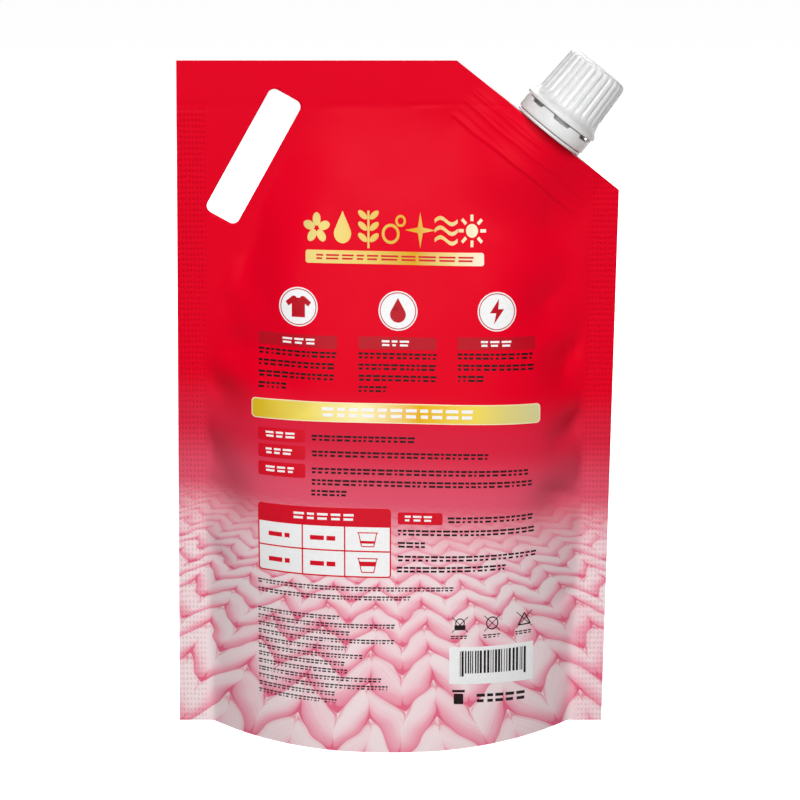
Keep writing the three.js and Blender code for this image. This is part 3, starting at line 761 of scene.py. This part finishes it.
def draw_title(bm):
    """Seven motifs of the laundry room in a row: flower, drop, leaf, bubbles, star, wave and sun."""
    y = TITLE_UP
    flower, drop, leaf, bubbles, star, wave, sun = TITLE_AT
    for i in range(5):
        t = math.radians(90 + 72 * i)
        disc(bm, flower + 3 * math.cos(t), y + 3 * math.sin(t), 1.5, 1.5, 90 + 72 * i, 16)
    disc(bm, drop, y - 1.6, 3.3, segments=20)
    patch(bm, [(drop - 2.6, y + 0.6), (drop + 2.6, y + 0.6), (drop, y + 6)])
    for side in (-1, 1):
        for step in (-3.6, 0.2, 4.0):
            disc(bm, leaf + 2.2 * side, y + step + 0.8, 1.05, 2.0, 90 - 52 * side, 18)
    stroke(bm, leaf, y - 6.4, leaf, y + 6.2, 0.8)
    hoop(bm, bubbles - 1.4, y - 1.4, 3.4, 1.0)
    hoop(bm, bubbles + 2.4, y + 3, 2.0, 0.8)
    for turn in (0, 90):
        t = math.radians(turn)
        c, d = math.cos(t), math.sin(t)
        upper = [(star + 6 * c, y + 6 * d), (star - 1.1 * d, y + 1.1 * c)]
        patch(bm, upper + [(star - 6 * c, y - 6 * d), (star + 1.1 * d, y - 1.1 * c)])
    for step in (-3.2, 0, 3.2):
        upper = [(wave - 4.4 + 1.1 * i, y + step + 0.6 + math.sin(i * 0.78) * 1.1) for i in range(9)]
        patch(bm, upper + [(x, z - 1.3) for x, z in reversed(upper)])
    disc(bm, sun, y, 2.3, segments=20)
    for i in range(8):
        c, d = math.cos(math.radians(45 * i)), math.sin(math.radians(45 * i))
        stroke(bm, sun + 3.2 * c, y + 3.2 * d, sun + 5.4 * c, y + 5.4 * d, 1.1)
    for vert in bm.verts:
        near = min(TITLE_AT, key=lambda x: abs(x - vert.co.x))
        vert.co.x = near + (vert.co.x - near) * TITLE_STRETCH[0]
        vert.co.y = y + (vert.co.y - y) * TITLE_STRETCH[1]


def draw_discs(bm):
    """The three white discs."""
    for x, y, *_ in COLUMNS_AT:
        disc(bm, x, y, DISC_RADIUS, segments=48)


def draw_icons(bm):
    """A shirt, a drop and a bolt, in the three discs, each inside a thin ring."""
    for x, y, *_ in COLUMNS_AT:
        hoop(bm, x, y, HOOP_RADIUS, 0.35)
    x, y = COLUMNS_AT[0][:2]
    right_half = [(2.6, -4), (2.6, 1.2), (3.9, 0.2), (5, 1.9), (2.2, 4.2), (1.2, 4.2), (0.6, 3.5)]
    shirt = [(-2.6, -4)] + right_half + [(-a, b) for a, b in reversed(right_half[1:])]
    patch(bm, [(x + a, y + b) for a, b in shirt])
    x, y = COLUMNS_AT[1][:2]
    disc(bm, x, y - 1.4, 3.1, segments=24)
    patch(bm, [(x - 2.5, y + 0.4), (x + 2.5, y + 0.4), (x, y + 5)])
    x, y = COLUMNS_AT[2][:2]
    bolt = ((0.8, 5), (-2.8, -0.6), (-0.3, -0.6), (-1.2, -4.9), (2.8, 1), (0.5, 1))
    patch(bm, [(x + a, y + b) for a, b in bolt])


def draw_small_print(bm):
    """Dashes in place of the paragraphs, notes, addresses and captions, and a bin with its lid."""
    dashes(7, SMALL_PRINT_LINES)(bm)
    bar(bm, 25.2, 20.5, 29.0, 24.7, 0.4)
    bar(bm, 24.6, 25.3, 29.6, 26.2)


def draw_symbols(bm):
    """Three crossed-out line symbols: a tub under its arch, a circle and a triangle."""
    y = 51.8
    tub, circle, triangle = SYMBOLS_AT
    for x in SYMBOLS_AT:
        for side in (-1, 1):
            stroke(bm, x - 3.2, y - 3 * side, x + 3.2, y + 3 * side, 0.28)
    hoop(bm, circle, y, 2.5, 0.45)
    bar(bm, tub - 2.2, y - 2.1, tub + 2.2, y - 0.2)
    hoop(bm, tub, y + 0.6, 1.9, 0.4)
    for a, b in (((-2.5, -2), (2.5, -2)), ((2.5, -2), (0, 2.4)), ((0, 2.4), (-2.5, -2))):
        stroke(bm, triangle + a[0], y + a[1], triangle + b[0], y + b[1], 0.5)


def draw_code(bm):
    """Upright stripes of uneven width, as on any product code, that say nothing."""
    chance = np.random.default_rng(11)
    x = 27.6
    while x < 54.2:
        wide = chance.choice((0.3, 0.45, 0.6, 0.9))
        bar(bm, x, 32.8 if 29 < x < 53 else 31.6, x + wide, 41.5)
        x += wide + chance.choice((0.35, 0.5, 0.7))


def draw_table_lines(bm):
    """The table's red head and its ruled lines, with rounded outer corners."""
    left, right, low, high, head, round_by, line = -52.2, 0.4, 70.5, 97.6, 90.3, 1.4, 0.55
    upper = arc((right - round_by, high - round_by), round_by, 0, 90)
    upper += arc((left + round_by, high - round_by), round_by, 90, 180)
    patch(bm, [(left, head), (right, head)] + upper)
    bar(bm, left + round_by, low, right - round_by, low + line)
    for x, start in ((left + round_by, 180), (right - round_by, 270)):
        middle = (x, low + round_by)
        patch(bm, arc(middle, round_by, start, start + 90) + arc(middle, round_by - line, start + 90, start))
    for x in (left, right - line):
        bar(bm, x, low + round_by, x + line, head)
    upright, rule = (-34.8, -18.1), 80.5
    for x in upright:
        bar(bm, x, low + line, x + line, head)
    for start, end in zip((left, *upright), (*upright, right - line)):
        bar(bm, start + line, rule, end, rule + line)


def draw_table_marks(bm):
    """Dashes in the cells, and a measuring cup with its level in each row."""
    for y in (85.5, 75.4):
        for left, right in ((-48, -42.6), (-41.6, -39.6), (-31.5, -26), (-25, -21.5)):
            bar(bm, left, y - 0.9, right, y + 0.9)
        for side in (-1, 1):
            stroke(bm, -8.8 + 3.6 * side, y + 2.6, -8.8 + 2.4 * side, y - 2.8, 0.4)
        bar(bm, -12.8, y + 2.4, -4.8, y + 2.8)
        bar(bm, -11.2, y - 3, -6.4, y - 2.6)
    patch(bm, [(-12, 84.9), (-5.6, 84.9), (-5.9, 83.9), (-11.7, 83.9)])
    patch(bm, [(-12.3, 76.8), (-5.3, 76.8), (-5.7, 75.0), (-11.9, 75.0)])


# Pieces of print: name, what draws it, its ink and how far it stands off the film
PRINTS = (
    ("foil_title", draw_title, "title foil", INK_LIFT),
    ("foil_bar", bars((-32.9, 192.0, 36.7, 197.0, 0.9)), "title foil", INK_LIFT),
    ("foil_bar_dashes", dashes(3, [(-28.8, 33.0, 194.5, 2.0, 2.4, 7, 1.1)]), "red", 0.12),
    ("foil_band_edge", bars((-54.5, 130.9, 59.1, 138.6, 1.5)), "edge foil", 0.04),
    ("foil_band", bars((-54.1, 131.3, 58.7, 138.2, 1.2)), "band foil", 0.08),
    ("foil_band_dashes", dashes(5, [(-26.6, 34.6, 134.8, 3.6, 2.4, 5.2, 1.3)]), "white", 0.14),
    ("white_discs", draw_discs, "white", INK_LIFT),
    ("disc_icons", draw_icons, "dark red", 0.12),
    (
        "label_bars",
        bars(*((left, low, right, low + LABEL_HIGH, 0.5) for _, _, left, right, low in COLUMNS_AT)),
        "dark red", INK_LIFT,
    ),
    ("heading_dashes", dashes(9, HEADING_LINES), "white", 0.2),
    (
        "heading_pills",
        bars(*((-51.9, low, -33.2, high, 0.8) for low, high in PILLS_AT), (3.0, 91.7, 20.6, 96.4, 0.8)),
        "red", INK_LIFT,
    ),
    ("small_print_dashes", draw_small_print, "black", INK_LIFT),
    ("table_cells", bars((-52.0, 70.7, 0.2, 92, 1.3)), "white", INK_LIFT),
    ("table_lines", draw_table_lines, "red", 0.13),
    ("table_marks", draw_table_marks, "red", 0.13),
    ("code_field", bars((23.4, 28.6, 57.4, 43.0)), "white", INK_LIFT),
    ("code_stripes", draw_code, "black", 0.13),
    ("care_symbols", draw_symbols, "black", INK_LIFT),
)
# Gold of the foils from left to right, with painted reflection: the pale stops paint streaks of sheen across
# the foil
TITLE_FOIL_AND_SHEEN = ((0, "dcc87c"), (0.35, "d8bc62"), (0.6, "ca980c"), (0.8, "d8c282"), (1, "ece2d0"))
BAND_FOIL_AND_SHEEN = (
    (0, "dfb90f"), (0.2, "e3cf60"), (0.38, "e9dda6"), (0.58, "d4a00c"), (0.78, "e2cb56"), (1, "d9d49c"),
)


class POUCH_OT_print(bpy.types.Operator):
    """Adds the print and the hot foil on the front panel"""

    bl_idname = "pouch.print"
    bl_label = "Printed panel"

    def execute(self, context):
        look = context.scene.film
        inks = {
            "title foil": print_material("hot_stamped_foil_title_and_sheen", TITLE_FOIL_AND_SHEEN, 0.42, 0.12, (-0.036, 0.036)),
            "band foil": print_material("hot_stamped_foil_band_and_sheen", BAND_FOIL_AND_SHEEN, 0.42, 0.2, (-0.057, 0.0574)),
            "edge foil": print_material("hot_stamped_foil_edge", linear("f0e9bd"), 0.42, 0.1),
            "white": print_material("gravure_ink_white", look.white_ink, 0.45),
            "black": print_material("gravure_ink_black", look.ink, 0.45),
            "dark red": print_material("gravure_ink_dark_red", look.label, 0.42),
            "red": print_material("gravure_ink_red", look.pill, 0.42),
        }
        for name, draw, ink, lift in PRINTS:
            print_piece(name, draw, inks[ink], lift)
        return {"FINISHED"}


def closure_piece(name, bm, material, body, node):
    """Puts a piece of the closure in its place, hangs it on the body it rides on, and hides the CAD part it
    stands in for.
    """
    bmesh.ops.transform(bm, matrix=spout_frame(), verts=bm.verts[:])
    bmesh.ops.recalc_face_normals(bm, faces=bm.faces[:])
    piece = finished(name, bm, material)
    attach(piece, body)
    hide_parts(node)


# The closure, in the spout's own millimetres: radii from its axis, and heights above the film's edge

FOOT = -0.4  # the bored foot starts a little inside the boat
FLANGE = 15
FLANGE_LOW = 0.5
FLANGE_TOP = 1.7
FLANGE_ROUND = 0.4
NECK = 10.6
NECK_BORE = 8.5
NECK_TOP = 28.5
LIP_ROUND = 0.6
BEAD = 13.3  # snap bead that holds the ring
CAP_BORE = 12.05
CAP_CEILING = 30.5
CAP_TOP = 32.3
CAP_ROUND = 2.3
SKIRT_BORE = 14.6
SKIRT_LOW = 8.2
SKIRT_HIGH = 9.3
SKIRT_ROUND = 0.35
GRIP_LOW = 15
GRIP_HIGH = 14.7  # height of the tapered grip above that
RIBS_IN = (12.6, 14.6)  # heights over which the grooves between the ribs run in
RIBS_OUT = (31.2, 32.3)  # and out
RING_WALL = 1.3
RING_LOW = 2.0
RING_TOP = 7.9
CATCH = 10.9  # the ring's catch under the bead
WINDOW_DEPTH = 1.3
WINDOW_HALF = 13.5  # degrees, half a window's width
THREAD_PITCH = 4
THREAD_TURNS = 1.75
THREAD_START = 16.5  # middle of the neck thread's lower end
THREAD_STEPS = 48  # per turn
THREAD_DEPTH = 1
THREAD_SUNK = 0.3  # how deep its root lies in the wall
THREAD_ROOT_HALF = 0.8
THREAD_CREST_HALF = 0.45
THREAD_FADE = 0.12  # share of its length over which it runs out
THREAD_END = 0.05  # share of its size at the very end


def thread(bm, root, crest, lowest):
    """A closed right-hand thread that runs out at both ends. Root and crest are radii."""
    sunk = root - THREAD_SUNK * (1 if crest > root else -1)
    section = (
        (sunk, -THREAD_ROOT_HALF), (crest, -THREAD_CREST_HALF),
        (crest, THREAD_CREST_HALF), (sunk, THREAD_ROOT_HALF),
    )
    corners = [bm.verts.new((radius, 0, lowest + up)) for radius, up in section]
    face = bm.faces.new(corners)
    before = set(bm.verts) - set(corners)
    bmesh.ops.spin(
        bm, geom=[face, *face.edges, *corners], cent=(0, 0, 0), axis=(0, 0, 1),
        dvec=(0, 0, THREAD_PITCH / THREAD_STEPS), angle=2 * math.pi * THREAD_TURNS,
        steps=round(THREAD_STEPS * THREAD_TURNS), use_merge=False, use_duplicate=False,
    )
    for vert in set(bm.verts) - before:
        radius, turn = math.hypot(vert.co.x, vert.co.y), math.atan2(vert.co.y, vert.co.x) / (2 * math.pi)
        turn += round((vert.co.z - lowest) / THREAD_PITCH - turn)
        middle = lowest + THREAD_PITCH * turn
        fade = min(turn, THREAD_TURNS - turn) / THREAD_TURNS / THREAD_FADE
        fade = min(1, max(THREAD_END, fade))
        scale = (sunk + (radius - sunk) * fade) / radius
        vert.co = (vert.co.x * scale, vert.co.y * scale, middle + (vert.co.z - middle) * fade)


class POUCH_OT_cap(bpy.types.Operator):
    """Adds the ribbed screw cap"""

    bl_idname = "pouch.cap"
    bl_label = "Screw cap"

    def execute(self, context):
        mm = settings("closure")
        look = context.scene.closure
        skirt, grip, top = mm("skirt") / 2, mm("grip") / 2, mm("grip_top") / 2
        # The bore and the skirt, then the flare, the tapered grip and the round top edge
        outline = [(0, CAP_CEILING), (CAP_BORE, CAP_CEILING), (CAP_BORE, 14), (SKIRT_BORE, 11)]
        outline.append((SKIRT_BORE, SKIRT_LOW))
        outline += arc((skirt - SKIRT_ROUND, SKIRT_LOW + SKIRT_ROUND), SKIRT_ROUND, -90, 0, 3)
        outline += arc((skirt - SKIRT_ROUND, SKIRT_HIGH), SKIRT_ROUND, 0, 60, 3)
        outline += [(grip + 1.2, 10.9), (grip + 0.5, 12.6), (grip + 0.1, 13.9), (grip, GRIP_LOW)]
        outline += [(grip + (top - grip) * i / 6, GRIP_LOW + GRIP_HIGH * i / 6) for i in range(1, 7)]
        outline += arc((top - CAP_ROUND, CAP_TOP - CAP_ROUND), CAP_ROUND, 8, 90, 8)
        outline += [(7, CAP_TOP), (0, CAP_TOP)]
        bm = bmesh.new()
        spun(bm, outline, look.ribs * 10)
        for vert in bm.verts:
            radius, turn = math.hypot(vert.co.x, vert.co.y), math.atan2(vert.co.y, vert.co.x)
            # The flat top, the skirt and the inside stay plain
            if radius < 9 or vert.co.z < 10 or (radius < CAP_BORE + 0.15 and vert.co.z < 31):
                continue
            valley = (0.5 + 0.5 * math.cos(turn * look.ribs)) ** 4
            run = float(smoothstep(vert.co.z, *RIBS_IN) * (1 - smoothstep(vert.co.z, *RIBS_OUT)))
            scale = 1 - mm("rib_depth") * valley * run / radius
            vert.co.x *= scale
            vert.co.y *= scale
        thread(bm, CAP_BORE, CAP_BORE - THREAD_DEPTH, THREAD_START - THREAD_PITCH / 2)
        material = milky_plastic("moulded_polypropylene_cap", look.plastic)
        closure_piece("screw_cap", bm, material, "cap", "cap")
        return {"FINISHED"}


class POUCH_OT_spout(bpy.types.Operator):
    """Adds the spout with its boat, flange, neck and thread"""

    bl_idname = "pouch.spout"
    bl_label = "Spout"

    def execute(self, context):
        bm = bmesh.new()
        rim, lip = FLANGE - FLANGE_ROUND, NECK_TOP - LIP_ROUND
        # The foot and the flange, then the neck with its bead, the lip and the bore
        outline = [(BOAT_BORE, FOOT), (BOAT_BORE + 1, FOOT), (BOAT_BORE + 1, FLANGE_LOW)]
        outline += arc((rim, FLANGE_LOW + FLANGE_ROUND), FLANGE_ROUND, -90, 0, 3)
        outline += arc((rim, FLANGE_TOP - FLANGE_ROUND), FLANGE_ROUND, 0, 90, 3)
        outline += [(NECK, FLANGE_TOP), (NECK, 5.1), (BEAD, 5.1), (BEAD, 5.6), (NECK, 6.7), (NECK, lip)]
        outline += arc((NECK - LIP_ROUND, lip), LIP_ROUND, 0, 90, 3)[1:]
        outline += [(NECK_BORE + LIP_ROUND, NECK_TOP), (NECK_BORE, lip), (NECK_BORE, 5)]
        outline += [(BOAT_BORE, 0), (BOAT_BORE, FOOT)]
        spun(bm, outline, 96)
        thread(bm, NECK, NECK + THREAD_DEPTH, THREAD_START)
        self.add_boat(bm)
        material = milky_plastic("moulded_polyethylene_spout", context.scene.closure.plastic)
        closure_piece("corner_spout", bm, material, "root", "spout")
        return {"FINISHED"}

    def add_boat(self, bm):
        """The welded foot between the films: a pointed lens with ribs that take the seal, bored through."""
        bend = (BOAT_REACH**2 + BOAT_HALF**2) / (2 * BOAT_HALF)
        # From the foot to the film's edge: height, and how far the side stands proud there
        levels = [(-BOAT_HEIGHT, 0)]
        for rib in range(BOAT_RIBS):
            low = -BOAT_HEIGHT + (BOAT_HEIGHT - BOAT_RIB_HIGH) * (rib + 0.5) / BOAT_RIBS
            high = low + BOAT_RIB_HIGH
            levels += [(low, 0), (low, BOAT_RIB_PROUD), (high, BOAT_RIB_PROUD), (high, 0)]
        levels.append((0, 0))
        loops = []
        for height, proud in (levels[0], *levels, levels[-1]):
            made = bmesh.ops.create_circle(bm, segments=96, radius=1)["verts"]
            bored = not 0 < len(loops) <= len(levels)
            for vert in made:
                x, y = vert.co.x * (BOAT_BORE if bored else BOAT_REACH), vert.co.y * BOAT_BORE
                if not bored:
                    side = math.sqrt(bend**2 - x**2) - bend + BOAT_HALF + proud
                    y = math.copysign(side, vert.co.y) if abs(vert.co.y) > 1e-4 else 0
                vert.co = (x, y, height)
            loops.append(list({e for v in made for e in v.link_edges}))
        for lower, upper in zip(loops, loops[1:] + loops[:1]):
            bmesh.ops.bridge_loops(bm, edges=lower + upper)


class POUCH_OT_ring(bpy.types.Operator):
    """Adds the tamper ring with its windows"""

    bl_idname = "pouch.ring"
    bl_label = "Tamper ring"

    def execute(self, context):
        look = context.scene.closure
        outer = settings("closure")("ring") / 2
        inner = outer - RING_WALL
        bm = bmesh.new()
        outline = [(inner, RING_LOW)] + arc((outer - 0.4, RING_LOW + 0.4), 0.4, -90, 0, 3)
        outline += [(outer, 4.2), (outer, 6.1), (outer, 7.5)]
        outline += arc((outer - 0.2, RING_TOP - 0.2), 0.2, 0, 90, 2) + [(inner, RING_TOP)]
        outline += [(inner, 4.8), (CATCH, 4.6), (CATCH, 3.9), (inner, 3.7), (inner, RING_LOW)]
        spun(bm, outline, 140)
        for vert in bm.verts:
            turn = (math.atan2(vert.co.y, vert.co.x) + math.pi / 2) * look.windows
            if vert.co.z > 7.2 and math.cos(turn) > math.cos(math.radians(WINDOW_HALF * look.windows)):
                vert.co.z -= WINDOW_DEPTH
        material = milky_plastic("moulded_polypropylene_ring", look.plastic)
        closure_piece("tamper_evident_ring", bm, material, "root", "tamper_ring")
        return {"FINISHED"}


class POUCH_OT_liner(bpy.types.Operator):
    """Adds the foam disc inside the cap"""

    bl_idname = "pouch.liner"
    bl_label = "Cap liner"

    def execute(self, context):
        bm = bmesh.new()
        outline = [(0, 28.8), (11.1, 28.8), (11.4, 29.1), (11.4, 30.2), (8.6, 30.2), (8.1, 29.8), (0, 29.8)]
        spun(bm, outline, 96)
        material = milky_plastic("pressed_foam_liner", context.scene.closure.foam)
        closure_piece("liner_disc", bm, material, "liner", "cap_liner")
        return {"FINISHED"}


AIM = (3.9, 134.9)  # where the camera looks, across and up


class POUCH_OT_stage(bpy.types.Operator):
    """Adds the floor, the lights and the camera"""

    bl_idname = "pouch.stage"
    bl_label = "Stage"

    def execute(self, context):
        look = context.scene.stage
        bm = bmesh.new()
        bmesh.ops.create_grid(bm, x_segments=1, y_segments=1, size=6)

        # Matt paint that gives off some light of its own, so that the floor is as white as the photo's ground
        paint = {"Base Color": look.floor, "Roughness": 0.9, "Emission Color": look.floor}
        paint["Emission Strength"] = 0.81
        floor = finished("floor", bm, new_material("matt_white_floor", lambda add: paint))
        floor.visible_diffuse = False
        aim = Vector((AIM[0] + BOX_SHIFT, 0, AIM[1])) * MM
        camera = bpy.data.objects.new("camera", bpy.data.cameras.new("camera"))
        context.scene.collection.objects.link(camera)
        camera.data.lens, camera.data.sensor_width = look.lens, 36
        camera.data.clip_start = 0.01
        back = Vector((0, -math.cos(look.elevation), math.sin(look.elevation)))
        camera.location = aim + look.distance * back
        camera.rotation_euler = (math.pi / 2 - look.elevation, 0, 0)
        context.scene.camera = camera
        # Two panels of light and a wide soft sun: sizes in metres, power in watts
        front = bpy.data.lights.new("front", "AREA")
        front.size, front.energy = 1.0, 27.5
        rear = bpy.data.lights.new("rear", "AREA")
        rear.size, rear.energy = 1.2, 27
        overhead = bpy.data.lights.new("overhead", "SUN")
        overhead.angle, overhead.energy = math.radians(60), 0.45
        for data, place, target in (
            (front, (0, -1.55, 0.95), aim), (rear, (0.2, 1.5, 1.2), aim), (overhead, (0, -0.5, 2), Vector()),
        ):
            lamp = bpy.data.objects.new(data.name, data)
            context.scene.collection.objects.link(lamp)
            lamp.location = place
            lamp.rotation_euler = (Vector(place) - target).to_track_quat("Z", "Y").to_euler()
        world = bpy.data.worlds.new("studio")
        context.scene.world = world
        world.use_nodes = True
        # A white room that the camera sees as white, and that lights the pouch only faintly
        add = partial(add_node, world.node_tree)
        strength = add("MapRange", {0: add("LightPath", out="Is Camera Ray"), 3: 0.08, 4: 1.0})
        fill_inputs(world.node_tree.nodes["Background"], {0: (1, 1, 1, 1), 1: strength})
        context.scene.view_settings.view_transform = "Standard"
        return {"FINISHED"}


class POUCH_PT_panel(bpy.types.Panel):
    """Lists the settings and the pieces"""

    bl_label = "Refill pouch"
    bl_idname = "POUCH_PT_panel"
    bl_space_type = "VIEW_3D"
    bl_region_type = "UI"
    bl_category = "Refill pouch"

    def draw(self, context):
        for group in GROUPS:
            box = self.layout.box()
            values = getattr(context.scene, group)
            for name in values.bl_rna.properties.keys():
                if name not in ("rna_type", "name"):
                    box.prop(values, name)
        for operator in OPERATORS:
            self.layout.operator(operator.bl_idname)


GROUPS = {"film": FilmSettings, "closure": ClosureSettings, "stage": StageSettings}
OPERATORS = (
    POUCH_OT_film, POUCH_OT_print, POUCH_OT_spout, POUCH_OT_ring, POUCH_OT_cap, POUCH_OT_liner,
    POUCH_OT_stage,
)
CLASSES = (*GROUPS.values(), *OPERATORS, POUCH_PT_panel)


def register():
    for each in CLASSES:
        bpy.utils.register_class(each)
    for name, group in GROUPS.items():
        setattr(bpy.types.Scene, name, PointerProperty(type=group))


def unregister():
    for name in GROUPS:
        delattr(bpy.types.Scene, name)
    for each in reversed(CLASSES):
        bpy.utils.unregister_class(each)


def main():
    register()
    for operator in OPERATORS:
        group, name = operator.bl_idname.split(".")
        getattr(getattr(bpy.ops, group), name)()


if __name__ == "__main__":
    main()
